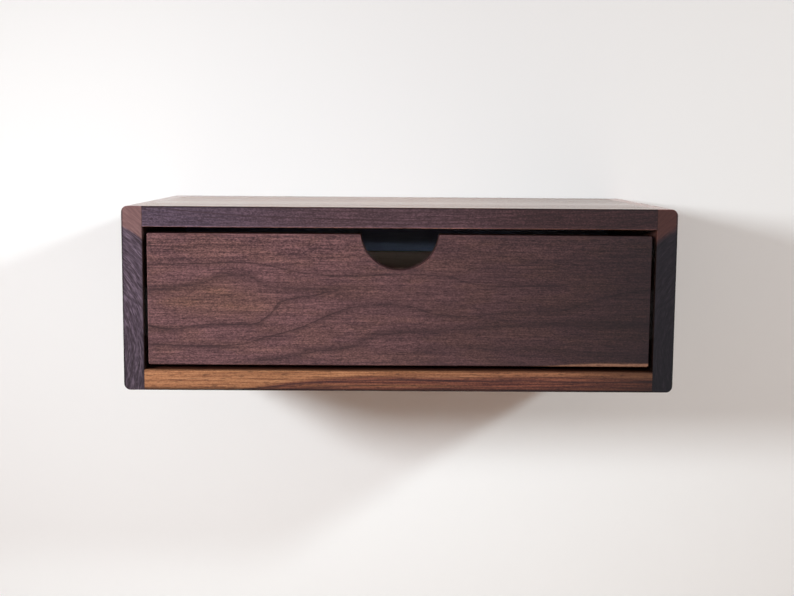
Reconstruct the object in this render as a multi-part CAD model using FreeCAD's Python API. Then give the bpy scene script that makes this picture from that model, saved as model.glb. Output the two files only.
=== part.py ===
import FreeCAD, Part
import math
import os

# A wall-hung walnut shelf with one drawer, in millimetres. The wall is the plane y = 0, the front faces -Y,
# x = 0 is the middle, and z = 0 is the height of the screws in the wall cleat.

# Case: top and bottom boards butted between full-height sides
shelf_width = 508.0
shelf_depth = 270.0
shelf_height = 170.0
board_thickness = 19.0
corner_round = 6.0
case_arris = 1.0

# Loose tongues in stopped grooves where top and bottom meet the sides
tongue_thickness = 6.0
tongue_reach = 9.0
tongue_front_stop = 18.0
tongue_back_stop = 12.0

# Back panel in a groove all round
back_thickness = 6.0
back_groove_depth = 6.0

# French cleat: a rail housed in the case's sides hooks behind a cleat that is screwed to the wall
cleat_thickness = 18.0
cleat_front_gap = 1.0
cleat_wall_height = 27.0
cleat_end_gap = 10.0
cleat_tip = 2.0
cleat_bevel_angle = 45.0
rail_wall_height = 45.0
rail_housing_depth = 6.0
wall_screw_inset = 21.8
wall_screw_bore = 5.5
wall_screw_sink = 11.0

# Drawer front, set into the opening
side_reveal = 3.5
top_reveal = 5.7
bottom_reveal = 4.7
front_setback = 1.5
front_thickness = 19.0
front_corner_round = 2.0
front_easing = 1.2
notch_radius = 36.0
notch_rise = 3.2
notch_lip_round = 2.0

# Drawer box behind the front, dovetailed at its corners
box_wall = 12.0
box_top_drop = 0.5
box_foot_rise = 4.0
box_rear_gap = 12.5
tail_count = 3
tail_width_share = 0.55
tail_flare_share = 0.14
bottom_thickness = 6.0
bottom_rise = 7.0
bottom_groove_depth = 5.0

# Ball-bearing slides, three rolled channels one inside the other
slide_height = 45.0
slide_front_inset = 3.0
slide_rear_inset = 9.0
sheet_thickness = 1.0
sheet_bend = 1.0
web_gap = 1.5
fold_gap = 0.4
running_gap = 0.4
race_step = 2.1
race_gap = 0.15
race_lip_angle = 70.0
ball_diameter = 3.0
ball_row_count = 3
ball_side_count = 8
ball_band_angles = (-67.5, -22.5, 22.5, 67.5)
cage_length_share = 0.44
cage_thickness = 0.5
cage_pocket_gap = 0.1
cage_inner_reach = 1.0
cage_outer_reach = 2.6
bumper_length = 4.0
bumper_height = 16.0
access_window_length = 14.0
access_window_height = 9.0
cabinet_screw_shares = (0.15, 0.85)
drawer_screw_shares = (0.2, 0.8)

# Screws: slide screws have thin heads that clear the middle member
slide_screw_head = 6.4
slide_screw_head_height = 1.1
slide_screw_shank = 3.4
cabinet_screw_length = 14.0
drawer_screw_length = 10.0
front_screw_head = 8.0
front_screw_head_height = 2.4
front_screw_shank = 4.0
front_screw_length = 25.0
front_screw_side_share = 0.62
front_screw_height_shares = (0.38, 0.78)
screw_side_count = 8
screw_crown_share = 0.75
screw_point_share = 0.3
screw_taper_share = 1.2

# Fits
panel_gap = 0.2
glue_gap = 0.1
screw_gap = 0.1
overrun = 1.0
closeness = 1e-4

# Case planes
half_width = shelf_width / 2
inner_half = half_width - board_thickness
bevel_slope = math.tan(math.radians(cleat_bevel_angle))
bevel_foot_z = cleat_wall_height / 2
ceiling_z = bevel_foot_z + rail_wall_height
top_z = ceiling_z + board_thickness
bottom_z = top_z - shelf_height
floor_z = bottom_z + board_thickness
front_y = -shelf_depth
rail_thickness = cleat_thickness + cleat_front_gap
back_front_y = -rail_thickness - back_thickness

# Drawer planes
face_half = inner_half - side_reveal
face_top_z = ceiling_z - top_reveal
face_bottom_z = floor_z + bottom_reveal
face_y = front_y + front_setback
box_front_y = face_y + front_thickness
box_back_y = back_front_y - box_rear_gap
box_top_z = face_top_z + notch_rise - notch_radius - box_top_drop
box_bottom_z = face_bottom_z + box_foot_rise
box_height = box_top_z - box_bottom_z

# Slide section, measured from the case's side: races, balls and the width that they add up to
ball_radius = ball_diameter / 2
race_radius = ball_radius + race_gap
race_line = race_radius + sheet_thickness / 2
fold_line = fold_gap / 2 + sheet_thickness / 2
bend_line = sheet_bend + sheet_thickness / 2
middle_web_x = sheet_thickness + web_gap + sheet_thickness / 2
outer_ball_x = middle_web_x + 2 * fold_line + race_line
inner_ball_x = outer_ball_x + race_step
drawer_web_x = inner_ball_x + race_line + sheet_thickness / 2 + running_gap + sheet_thickness / 2
slide_width = drawer_web_x + sheet_thickness / 2
outer_ball_z = slide_height / 2 - sheet_thickness - race_radius
inner_ball_z = outer_ball_z - 2 * race_line
box_half = inner_half - slide_width
slide_z = (box_top_z + box_bottom_z) / 2
slide_front_y = box_front_y + slide_front_inset
slide_back_y = box_back_y - slide_rear_inset
slide_length = slide_back_y - slide_front_y
moving_length = slide_length - bumper_length
cage_length = cage_length_share * slide_length
cage_front_y = slide_front_y + (moving_length - cage_length) / 2

along_x = FreeCAD.Vector(1, 0, 0)
along_y = FreeCAD.Vector(0, 1, 0)
along_z = FreeCAD.Vector(0, 0, 1)


def point(x, y, z):
    return FreeCAD.Vector(x, y, z)


def block(x, y, z):
    """Box between two places on each axis."""
    size = [span[1] - span[0] for span in (x, y, z)]
    return Part.makeBox(size[0], size[1], size[2], point(x[0], y[0], z[0]))


def prism(outline, depth):
    """Solid of a closed run of straight edges, pushed along a vector."""
    wire = Part.makePolygon(list(outline) + [outline[0]])
    return Part.Face(wire).extrude(depth)


def rod(diameter, start, direction, length):
    return Part.makeCylinder(diameter / 2, length, start, direction)


def faceted(sections, sides):
    """Turned form with flat sides, standing on z. A section is its height and the diameter of its corners."""
    turns = [2 * math.pi * i / sides for i in range(sides)]
    rings = [
        [point(diameter / 2 * math.cos(turn), diameter / 2 * math.sin(turn), height) for turn in turns]
        for height, diameter in sections
    ]
    outlines = [rings[0], rings[-1]]
    for lower, upper in zip(rings, rings[1:]):
        outlines += [[lower[i - 1], lower[i], upper[i], upper[i - 1]] for i in range(sides)]
    shell = Part.Shell([Part.Face(Part.makePolygon(outline + outline[:1])) for outline in outlines])
    shell.sewShape()
    return Part.makeSolid(shell)


def mirrored(shape):
    """The same piece on the other side of the middle plane."""
    return shape.mirror(point(0, 0, 0), along_x)


def both_sides(shapes):
    """The pieces of the left side and their mirror images, as one group."""
    return Part.makeCompound(shapes + [mirrored(shape) for shape in shapes])


def edges_on(shape, **places):
    """Edges whose ends all lie at the places given for x, y or z."""
    found = []
    for edge in shape.Edges:
        ends = [vertex.Point for vertex in edge.Vertexes]
        if all(abs(getattr(end, axis) - at) < closeness for end in ends for axis, at in places.items()):
            found.append(edge)
    return found


def without(shape, cuts):
    for cut in cuts:
        shape = shape.cut(cut)
    return shape


# Case joints

def tongue(x, z, gap):
    """A loose tongue across the joint at x, or with a gap the groove that it is glued into."""
    half = tongue_thickness / 2 + gap
    reach = tongue_reach + gap
    start = front_y + tongue_front_stop - gap
    end = back_front_y - tongue_back_stop + gap
    return block((x - reach, x + reach), (start, end), (z - half, z + half))


def tongue_heights():
    return [bottom_z + board_thickness / 2, top_z - board_thickness / 2]


def back_slab(gap):
    """The back panel, or with a gap the groove round it."""
    half = inner_half + back_groove_depth - panel_gap + gap
    reach = back_groove_depth - panel_gap + gap
    return block((-half, half), (back_front_y - gap, -rail_thickness + gap), (floor_z - reach, ceiling_z + reach))


def bevel_z(y):
    """Height of the cleat's sloping seat above a place in front of the wall."""
    return bevel_foot_z - y * bevel_slope


def hanging_rail():
    """Upper half of the cleat: its lower edge slopes down to the wall, with a blunt tip."""
    half = inner_half + rail_housing_depth
    tip_z = bevel_foot_z + cleat_tip
    outline = [
        point(-half, 0, tip_z),
        point(-half, -cleat_tip / bevel_slope, tip_z),
        point(-half, -rail_thickness, bevel_z(-rail_thickness)),
        point(-half, -rail_thickness, ceiling_z),
        point(-half, 0, ceiling_z),
    ]
    return prism(outline, along_x * (2 * half))


def wall_cleat():
    """Lower half of the cleat, with a countersunk hole near each end for the wall screws."""
    half = inner_half - cleat_end_gap
    tip_z = bevel_z(-cleat_thickness) - cleat_tip
    outline = [
        point(-half, 0, -cleat_wall_height / 2),
        point(-half, -cleat_thickness, -cleat_wall_height / 2),
        point(-half, -cleat_thickness, tip_z),
        point(-half, -cleat_thickness + cleat_tip / bevel_slope, tip_z),
        point(-half, 0, bevel_foot_z),
    ]
    cleat = prism(outline, along_x * (2 * half))
    sink_depth = (wall_screw_sink - wall_screw_bore) / 2
    for x in (wall_screw_inset - half, half - wall_screw_inset):
        front = point(x, -cleat_thickness, 0)
        bore = rod(wall_screw_bore, front - along_y * overrun, along_y, cleat_thickness + 2 * overrun)
        sink = Part.makeCone(wall_screw_sink / 2, wall_screw_bore / 2, sink_depth, front, along_y)
        cleat = without(cleat, [bore, sink])
    return cleat


# Case boards

def opening_easing(inner):
    """What easing takes off a side's front edge along the drawer opening."""
    corner = block((inner - case_arris, inner), (front_y, front_y + case_arris), (floor_z, ceiling_z))
    kept = rod(2 * case_arris, point(inner - case_arris, front_y + case_arris, floor_z), along_z, ceiling_z - floor_z)
    return corner.cut(kept)


def left_side():
    outer = -half_width
    inner = -inner_half
    side = block((outer, inner), (front_y, 0), (bottom_z, top_z))
    side = side.makeFillet(corner_round, edges_on(side, x=outer, z=top_z) + edges_on(side, x=outer, z=bottom_z))
    seam = [edge.hashCode() for edge in edges_on(side, x=inner, y=front_y)]
    rim = [edge for edge in edges_on(side, y=front_y) if edge.hashCode() not in seam]
    side = side.makeFillet(case_arris, rim)
    cuts = [opening_easing(inner), back_slab(panel_gap), hanging_rail()]
    cuts += [tongue(inner, z, panel_gap) for z in tongue_heights()]
    cuts += slide_screw_pilots(cabinet_screw_shares, slide_length, inner, -along_x, cabinet_screw_length)
    return without(side, cuts)


def cross_board(low_z, high_z):
    """Top or bottom board, between the sides, with both front edges eased."""
    board = block((-inner_half, inner_half), (front_y, 0), (low_z, high_z))
    board = board.makeFillet(case_arris, edges_on(board, y=front_y, z=low_z) + edges_on(board, y=front_y, z=high_z))
    mid_z = (low_z + high_z) / 2
    return without(board, [back_slab(panel_gap)] + [tongue(x, mid_z, panel_gap) for x in (-inner_half, inner_half)])


# Screws

def screw(head, head_height, shank, length, place, direction):
    """Wood screw with its head's underside at a place and its point in a direction."""
    taper = screw_taper_share * shank
    cap = faceted([(-head_height, screw_crown_share * head), (0, head)], screw_side_count)
    stem = faceted([(0, shank), (length - taper, shank), (length, screw_point_share * shank)], screw_side_count)
    shape = cap.fuse(stem)
    shape.Placement = FreeCAD.Placement(place, FreeCAD.Rotation(along_z, direction))
    return shape


def slide_screw_places(shares, length, x):
    return [point(x, slide_front_y + share * length, slide_z) for share in shares]


def slide_screw_pilots(shares, length, x, direction, screw_length):
    """Holes in the wood for a slide member's screws, as deep as the screws reach past the member's web."""
    depth = screw_length - sheet_thickness + panel_gap
    places = slide_screw_places(shares, length, x)
    bore = slide_screw_shank + 2 * screw_gap
    return [rod(bore, place - direction * overrun, direction, depth + overrun) for place in places]


def slide_screws(shares, length, x, direction, screw_length):
    return [
        screw(slide_screw_head, slide_screw_head_height, slide_screw_shank, screw_length, place, direction)
        for place in slide_screw_places(shares, length, x)
    ]


def front_screw_places():
    return [
        point(side * front_screw_side_share * box_half, box_front_y + box_wall, box_bottom_z + share * box_height)
        for side in (-1, 1)
        for share in front_screw_height_shares
    ]


def front_screw_bores():
    """Holes for the drawer front's screws, through the box front and on into the drawer front."""
    bore = front_screw_shank + 2 * screw_gap
    depth = front_screw_length + panel_gap + overrun
    return [rod(bore, place + along_y * overrun, -along_y, depth) for place in front_screw_places()]


def drawer_front_screws():
    return Part.makeCompound([
        screw(front_screw_head, front_screw_head_height, front_screw_shank, front_screw_length, place, -along_y)
        for place in front_screw_places()
    ])


# Drawer

def drawer_front():
    """Front board with the half-round finger notch cut through its top edge."""
    front = block((-face_half, face_half), (face_y, box_front_y), (face_bottom_z, face_top_z))
    notch_centre = point(0, face_y - overrun, face_top_z + notch_rise)
    front = front.cut(rod(2 * notch_radius, notch_centre, along_y, front_thickness + 2 * overrun))
    corners = []
    for x in (-face_half, face_half):
        corners += edges_on(front, x=x, z=face_top_z) + edges_on(front, x=x, z=face_bottom_z)
    front = front.makeFillet(front_corner_round, corners)
    half_chord = math.sqrt(notch_radius ** 2 - notch_rise ** 2)
    lips = edges_on(front, x=-half_chord, z=face_top_z) + edges_on(front, x=half_chord, z=face_top_z)
    front = front.makeFillet(notch_lip_round, lips)
    front = front.makeFillet(front_easing, edges_on(front, y=face_y))
    return without(front, front_screw_bores())


def tail_edge(shoulder_y, tip_y):
    """Outline of one end of a box side from its foot up, with a row of tails."""
    pitch = box_height / tail_count
    root = pitch * tail_width_share / 2
    tip = root + box_wall * tail_flare_share
    places = [(shoulder_y, box_bottom_z)]
    for i in range(tail_count):
        middle = box_bottom_z + pitch * (i + 0.5)
        places += [(shoulder_y, middle - root), (tip_y, middle - tip), (tip_y, middle + tip), (shoulder_y, middle + root)]
    return places + [(shoulder_y, box_top_z)]


def tail_sockets(inner_y, outer_y):
    """What the tails of the left side take out of a box front or back, with a glue gap on their cheeks."""
    outward = math.copysign(1, outer_y - inner_y)
    pitch = box_height / tail_count
    root = pitch * tail_width_share / 2 + glue_gap - overrun * tail_flare_share
    tip = root + (box_wall + 2 * overrun) * tail_flare_share
    start_y = inner_y - outward * overrun
    end_y = outer_y + outward * overrun
    sockets = []
    for i in range(tail_count):
        middle = box_bottom_z + pitch * (i + 0.5)
        corners = [(start_y, middle - root), (end_y, middle - tip), (end_y, middle + tip), (start_y, middle + root)]
        outline = [point(-box_half - overrun, y, z) for y, z in corners]
        sockets.append(prism(outline, along_x * (box_wall + overrun)))
    return sockets


def bottom_slab(gap):
    """The drawer's bottom panel, or with a gap the groove round it."""
    reach = bottom_groove_depth - panel_gap + gap
    half = box_half - box_wall + reach
    y = (box_front_y + box_wall - reach, box_back_y - box_wall + reach)
    low_z = box_bottom_z + bottom_rise
    return block((-half, half), y, (low_z - gap, low_z + bottom_thickness + gap))


def drawer_left_side():
    front_tails = tail_edge(box_front_y + box_wall, box_front_y)
    back_tails = tail_edge(box_back_y - box_wall, box_back_y)
    outline = [point(-box_half, y, z) for y, z in front_tails + back_tails[::-1]]
    side = prism(outline, along_x * box_wall)
    pilots = slide_screw_pilots(drawer_screw_shares, moving_length, -box_half, along_x, drawer_screw_length)
    return without(side, [bottom_slab(panel_gap)] + pilots)


def pin_board(inner_y, outer_y):
    """Box front or back, with sockets for the sides' tails at both ends."""
    board = block((-box_half, box_half), sorted((inner_y, outer_y)), (box_bottom_z, box_top_z))
    sockets = tail_sockets(inner_y, outer_y)
    return without(board, sockets + [mirrored(socket) for socket in sockets] + [bottom_slab(panel_gap)])


# Slides, built for the left side of the case: x is measured from the case's side and z from the slide's middle

def walk(start, heading, moves):
    """Places and headings along a strip's middle line. A move is a run's length or a bend's radius and turn."""
    x, z = start
    angle = math.radians(heading)
    stops = [(x, z, angle)]
    for length, turn in moves:
        if turn == 0:
            x += length * math.cos(angle)
            z += length * math.sin(angle)
        else:
            side = math.copysign(length, turn)
            after = angle + math.radians(turn)
            x += side * (math.sin(after) - math.sin(angle))
            z -= side * (math.cos(after) - math.cos(angle))
            angle = after
        stops.append((x, z, angle))
    return stops


def beside(stop, offset):
    """A place to the left of the walk, or to its right with a negative offset."""
    x, z, angle = stop
    return point(x - offset * math.sin(angle), 0, z + offset * math.cos(angle))


def rolled_channel(web_x, upper_moves, length):
    """Channel rolled from one strip. The moves go from the web's middle up to the upper free edge, and the lower
    half mirrors them."""
    x, z, angle = walk((web_x, 0), 90, upper_moves)[-1]
    moves = upper_moves[::-1] + upper_moves
    stops = walk((x, -z), 180 - math.degrees(angle), moves)
    sides = []
    for offset in (sheet_thickness / 2, -sheet_thickness / 2):
        edges = []
        for before, after, (size, turn) in zip(stops, stops[1:], moves):
            start, end = beside(before, offset), beside(after, offset)
            if turn == 0:
                edges.append(Part.LineSegment(start, end).toShape())
            else:
                half_way = walk(before[:2], math.degrees(before[2]), [(size, turn / 2)])[-1]
                edges.append(Part.Arc(start, beside(half_way, offset), end).toShape())
        sides.append(edges)
    caps = [
        Part.LineSegment(beside(stop, sheet_thickness / 2), beside(stop, -sheet_thickness / 2)).toShape()
        for stop in (stops[0], stops[-1])
    ]
    wire = Part.Wire(Part.sortEdges(sides[0] + sides[1] + caps)[0])
    return Part.Face(wire).extrude(along_y * length)


def seated(shape):
    """Moves a slide piece from its own section to the left side of the case."""
    return shape.translated(point(-inner_half, slide_front_y, slide_z))


def web_holes(diameter, shares, length, web_x):
    start = web_x - sheet_thickness / 2 - overrun
    depth = sheet_thickness + 2 * overrun
    return [rod(diameter, point(start, share * length, 0), along_x, depth) for share in shares]


def cabinet_member():
    """Outer channel, screwed to the case: its flanges hook over the outer balls."""
    upper = [
        (slide_height / 2 - sheet_thickness / 2 - bend_line, 0),
        (bend_line, -90),
        (outer_ball_x - sheet_thickness / 2 - bend_line, 0),
        (race_line, -race_lip_angle),
    ]
    channel = rolled_channel(sheet_thickness / 2, upper, slide_length)
    holes = web_holes(slide_screw_shank + 2 * screw_gap, cabinet_screw_shares, slide_length, sheet_thickness / 2)
    return seated(without(channel, holes))


def middle_member():
    """Channel between the two others: folded back at its edge into a trough for the outer balls, then hooked over
    the inner balls. Windows in its web let a screwdriver reach the cabinet member's screws."""
    upper = [
        (outer_ball_z, 0),
        (fold_line, -180),
        (race_line, 90),
        (race_step, 0),
        (race_line, -race_lip_angle),
    ]
    channel = rolled_channel(middle_web_x, upper, moving_length)
    x = (middle_web_x - sheet_thickness, middle_web_x + sheet_thickness)
    z = (-access_window_height / 2, access_window_height / 2)
    windows = []
    for share in cabinet_screw_shares:
        start = share * slide_length - access_window_length / 2
        windows.append(block(x, (start, start + access_window_length), z))
    return seated(without(channel, windows))


def drawer_member():
    """Inner channel, screwed to the drawer: its flanges curl up into a trough under the inner balls."""
    upper = [
        (inner_ball_z - race_line - bend_line, 0),
        (bend_line, 90),
        (drawer_web_x - bend_line - inner_ball_x, 0),
        (race_line, -90),
    ]
    channel = rolled_channel(drawer_web_x, upper, moving_length)
    holes = web_holes(slide_screw_shank + 2 * screw_gap, drawer_screw_shares, moving_length, drawer_web_x)
    return seated(without(channel, holes))


def ball_places(x, z):
    """Centres of the balls in the upper and lower rows of one race."""
    pitch = cage_length / ball_row_count
    start = cage_front_y - slide_front_y
    return [point(x, start + pitch * (i + 0.5), row * z) for row in (-1, 1) for i in range(ball_row_count)]


def balls(x, z):
    """The balls of one race, each with its corners on the sphere."""
    bands = [math.radians(angle) for angle in ball_band_angles]
    ball = faceted([(ball_radius * math.sin(band), ball_diameter * math.cos(band)) for band in bands], ball_side_count)
    return seated(Part.makeCompound([ball.translated(place) for place in ball_places(x, z)]))


def ball_cage(x, z):
    """The two strips that keep a race's balls apart, like combs with a square pocket for each ball."""
    start = cage_front_y - slide_front_y
    pocket_half = ball_radius + cage_pocket_gap
    strips = []
    for row in (-z, z):
        height = (row - cage_thickness / 2, row + cage_thickness / 2)
        strip = block((x - cage_inner_reach, x + cage_outer_reach), (start, start + cage_length), height)
        pockets = [
            block((x - ball_diameter, x + pocket_half), (place.y - pocket_half, place.y + pocket_half), height)
            for place in ball_places(x, z)
            if place.z * row > 0
        ]
        strips.append(without(strip, pockets))
    return seated(Part.makeCompound(strips))


def slide_bumper():
    """Block on the cabinet member's web that the middle member meets when the drawer is shut."""
    x = (sheet_thickness, sheet_thickness + web_gap + sheet_thickness)
    return seated(block(x, (moving_length, slide_length), (-bumper_height / 2, bumper_height / 2)))


def cabinet_slide_screws():
    x = sheet_thickness - inner_half
    return both_sides(slide_screws(cabinet_screw_shares, slide_length, x, -along_x, cabinet_screw_length))


def drawer_slide_screws():
    x = -box_half - sheet_thickness
    return both_sides(slide_screws(drawer_screw_shares, moving_length, x, along_x, drawer_screw_length))


def shelf_pieces():
    """Every piece of the shelf by name."""
    pieces = {
        "wall_cleat": wall_cleat(),
        "hanging_rail": hanging_rail(),
        "top_panel": cross_board(ceiling_z, top_z),
        "bottom_panel": cross_board(bottom_z, floor_z),
        "back_panel": back_slab(0),
        "joint_tongues": both_sides([tongue(-inner_half, z, 0) for z in tongue_heights()]),
        "drawer_front": drawer_front(),
        "drawer_box_front": without(pin_board(box_front_y + box_wall, box_front_y), front_screw_bores()),
        "drawer_back": pin_board(box_back_y - box_wall, box_back_y),
        "drawer_bottom": bottom_slab(0),
        "drawer_front_screws": drawer_front_screws(),
        "cabinet_slide_screws": cabinet_slide_screws(),
        "drawer_slide_screws": drawer_slide_screws(),
    }
    paired = {
        "side": left_side(),
        "drawer_side": drawer_left_side(),
        "cabinet_member": cabinet_member(),
        "middle_member": middle_member(),
        "drawer_member": drawer_member(),
        "outer_cage": ball_cage(outer_ball_x, outer_ball_z),
        "inner_cage": ball_cage(inner_ball_x, inner_ball_z),
        "outer_balls": balls(outer_ball_x, outer_ball_z),
        "inner_balls": balls(inner_ball_x, inner_ball_z),
        "slide_bumper": slide_bumper(),
    }
    for name, shape in paired.items():
        pieces["left_" + name] = shape
        pieces["right_" + name] = mirrored(shape)
    return pieces


os.makedirs("parts", exist_ok=True)
for name, shape in shelf_pieces().items():
    shape.exportStep(os.path.join("parts", name + ".step"))
    print(name, len(shape.Solids), "solids", round(shape.Volume), "mm3", "valid" if shape.isValid() else "NOT VALID")
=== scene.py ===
import math

import bpy
from mathutils import Matrix, Vector


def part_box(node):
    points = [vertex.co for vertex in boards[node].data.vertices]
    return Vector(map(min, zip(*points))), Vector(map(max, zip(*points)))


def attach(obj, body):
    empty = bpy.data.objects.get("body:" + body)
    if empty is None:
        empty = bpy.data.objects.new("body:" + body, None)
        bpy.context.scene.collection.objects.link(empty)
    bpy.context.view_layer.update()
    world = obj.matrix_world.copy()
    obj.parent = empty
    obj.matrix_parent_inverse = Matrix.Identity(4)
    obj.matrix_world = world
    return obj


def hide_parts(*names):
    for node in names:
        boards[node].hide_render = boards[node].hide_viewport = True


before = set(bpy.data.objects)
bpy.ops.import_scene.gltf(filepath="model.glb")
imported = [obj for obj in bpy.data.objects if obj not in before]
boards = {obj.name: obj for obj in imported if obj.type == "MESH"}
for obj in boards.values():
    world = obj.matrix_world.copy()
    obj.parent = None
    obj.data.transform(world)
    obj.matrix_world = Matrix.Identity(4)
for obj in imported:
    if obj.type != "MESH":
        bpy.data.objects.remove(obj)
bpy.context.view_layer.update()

# A wall-hung walnut shelf with one drawer. Sizes below are in millimetres, and Blender's are in metres.
MM = 0.001

# Screws: a wide thin head for the slides, a taller one for the drawer front
slide_screw = {"Head Width": 6.4, "Head Height": 1.1, "Shank Width": 3.4, "Drive Width": 3.6}
front_screw = {"Head Width": 8.0, "Head Height": 2.4, "Shank Width": 4.0, "Drive Width": 4.4}
cabinet_screw_length = 14.0
drawer_screw_length = 10.0
front_screw_length = 25.0
thread_pitch = 1.6

# Ball bearings of the slides
ball_diameter = 3.0
balls_in_a_row = 9
cage_inner_reach = 1.0

# The photograph's camera: place, turn, and focal length in pixels of an image this wide
camera_place = Vector((-13.8, -1383.4, 126.4))
camera_tilt = math.radians(6.75)
camera_turn = math.radians(-0.59)
camera_roll = math.radians(0.43)
focal_length = 1221.0
image_width = 794.0
sensor_width = 36.0


def card(red, green, blue):
    """A colour as it looks on a printed card, 0 to 255, turned into linear light."""
    linear = []
    for channel in (red, green, blue):
        share = channel / 255
        linear.append(share / 12.92 if share < 0.04045 else ((share + 0.055) / 1.055) ** 2.4)
    return (*linear, 1.0)


class Wiring:
    """A node tree under way. A socket takes a number, a colour or another node's output."""

    def __init__(self, tree):
        self.tree = tree

    def feed(self, socket, value):
        if isinstance(value, bpy.types.NodeSocket):
            self.tree.links.new(value, socket)
        else:
            socket.default_value = value

    def node(self, kind, values=None, **settings):
        made = self.tree.nodes.new(kind)
        for name, setting in settings.items():
            setattr(made, name, setting)
        for key, value in (values or {}).items():
            self.feed(made.inputs[key], value)
        return made

    def math(self, operation, *values):
        made = self.node("ShaderNodeMath", dict(enumerate(values)), operation=operation)
        return made.outputs[0]

    def vector(self, operation, *values):
        made = self.node("ShaderNodeVectorMath", dict(enumerate(values)), operation=operation)
        return made.outputs["Value" if operation in ("LENGTH", "DOT_PRODUCT") else "Vector"]


class Finish(Wiring):
    """A material whose pattern is drawn in the shelf's own millimetres."""

    def __init__(self, name):
        self.material = bpy.data.materials.new(name)
        self.material.use_nodes = True
        super().__init__(self.material.node_tree)
        self.shader = self.tree.nodes["Principled BSDF"]
        here = self.node("ShaderNodeTexCoord").outputs["Object"]
        self.place = self.vector("MULTIPLY", here, (1 / MM, 1 / MM, 1 / MM))
        axes = self.node("ShaderNodeSeparateXYZ", {0: self.place})
        self.x, self.y, self.z = axes.outputs

    def total(self, *values):
        result = values[0]
        for value in values[1:]:
            result = self.math("ADD", result, value)
        return result

    def times(self, first, second):
        return self.math("MULTIPLY", first, second)

    def spot(self, along, across, through):
        return self.node("ShaderNodeCombineXYZ", {0: along, 1: across, 2: through}).outputs[0]

    def noise(self, place, sizes, seed, detail=2.0, roughness=0.5):
        """Soft noise from 0 to 1 with spots of these sizes along the three axes of a place."""
        scale = tuple(1 / size for size in sizes)
        shift = (seed * 7.31, seed * 3.17, seed * 5.53)
        drawn = self.vector("MULTIPLY_ADD", place, scale, shift)
        values = {"Vector": drawn, "Scale": 1.0, "Detail": detail, "Roughness": roughness}
        return self.node("ShaderNodeTexNoise", values).outputs[0]

    def rise(self, value, low, high, start=0.0, end=1.0):
        """A smooth step from start to end while the value goes from low to high."""
        values = {"Value": value, "From Min": low, "From Max": high, "To Min": start, "To Max": end}
        return self.node("ShaderNodeMapRange", values, interpolation_type="SMOOTHSTEP").outputs[0]

    def blend(self, share, first, second, how="MIX"):
        values = {0: share, 6: first, 7: second}
        return self.node("ShaderNodeMix", values, data_type="RGBA", blend_type=how).outputs[2]

    def ramp(self, value, stops):
        made = self.node("ShaderNodeValToRGB", {0: value})
        elements = made.color_ramp.elements
        for (place, tone), element in zip(stops, elements):
            element.position, element.color = place, tone
        for place, tone in stops[2:]:
            elements.new(place).color = tone
        return made.outputs["Color"]

    def path(self, value, points):
        """A smooth line through given points, read at a value. It stays between the heights of its points."""
        start, end = points[0][0], points[-1][0]
        low = min(height for place, height in points)
        reach = max(height for place, height in points) - low
        values = {"Value": value, "From Min": start, "From Max": end}
        share = self.node("ShaderNodeMapRange", values).outputs[0]
        made = self.node("ShaderNodeFloatCurve", {"Value": share})
        curve = made.mapping.curves[0]
        spots = [((place - start) / (end - start), (height - low) / reach) for place, height in points]
        curve.points[0].location, curve.points[1].location = spots[0], spots[-1]
        for spot in spots[1:-1]:
            curve.points.new(*spot)
        for point in curve.points:
            point.handle_type = "AUTO_CLAMPED"
        made.mapping.update()
        return self.math("MULTIPLY_ADD", made.outputs[0], reach, low)

    def facing(self, axis):
        """How squarely a face looks along an axis, from 0 to 1."""
        normal = self.node("ShaderNodeNewGeometry").outputs["Normal"]
        return self.math("ABSOLUTE", self.vector("DOT_PRODUCT", normal, axis))

    def dress(self, colour, roughness, height, depth):
        """Gives the shader its colour, its gloss and a relief of this depth in millimetres."""
        self.feed(self.shader.inputs["Base Color"], colour)
        self.feed(self.shader.inputs["Roughness"], roughness)
        relief = self.node("ShaderNodeBump", {"Height": height, "Distance": depth * MM, "Strength": 1.0})
        self.feed(self.shader.inputs["Normal"], relief.outputs[0])
        return self.material


# Walnut

def browns(dark, middle, light):
    """Ramp stops from a wood's dark, middle and light tone."""
    return [(0.28, card(*dark)), (0.5, card(*middle)), (0.72, card(*light))]


front_heart = browns((55, 36, 39), (86, 59, 61), (118, 84, 85))
front_gold = browns((58, 39, 33), (92, 64, 54), (127, 91, 75))
front_sap = browns((112, 78, 64), (132, 95, 77), (150, 112, 91))
top_heart = browns((43, 29, 33), (62, 45, 50), (86, 63, 70))
# Bluish tones for the left end of the top board's edge: a painted sheen of the light from the left.
top_painted_sheen = browns((46, 37, 48), (66, 54, 66), (90, 75, 90))
top_brown = browns((43, 25, 26), (60, 38, 39), (84, 55, 57))
# The top face's tones are lighter and warmer than its edges': partly the wood, partly a painted warm glow of the wall's
# reflection.
top_face = browns((66, 42, 33), (104, 72, 58), (146, 104, 84))
bottom_heart = browns((62, 33, 28), (98, 56, 45), (130, 80, 62))
bottom_sap = browns((118, 75, 53), (147, 99, 69), (174, 124, 90))
side_heart = browns((55, 44, 52), (88, 73, 86), (127, 109, 125))
side_face = browns((50, 33, 32), (82, 56, 54), (118, 84, 80))
# The left side's sapwood tones are cooler than the right's: partly the wood, partly a painted bluish sheen of the light
# from the left.
left_sap = browns((106, 77, 77), (126, 94, 94), (147, 113, 112))
right_sap = browns((104, 65, 60), (125, 80, 74), (147, 98, 90))
line_tone = card(42, 27, 28)
pore_tone = card(34, 22, 23)
END_DARK = 0.66
EDGE_GLOSS = 0.34
UPPER_GLOSS = 0.2
BLOOM = 0.05
BLOOM_GLOSS = 0.35
BLOOM_TINT = (1.0, 0.66, 0.48, 1.0)
OIL_SHINE = 0.3
OIL_TINT = (0.84, 0.88, 1.0, 1.0)


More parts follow.
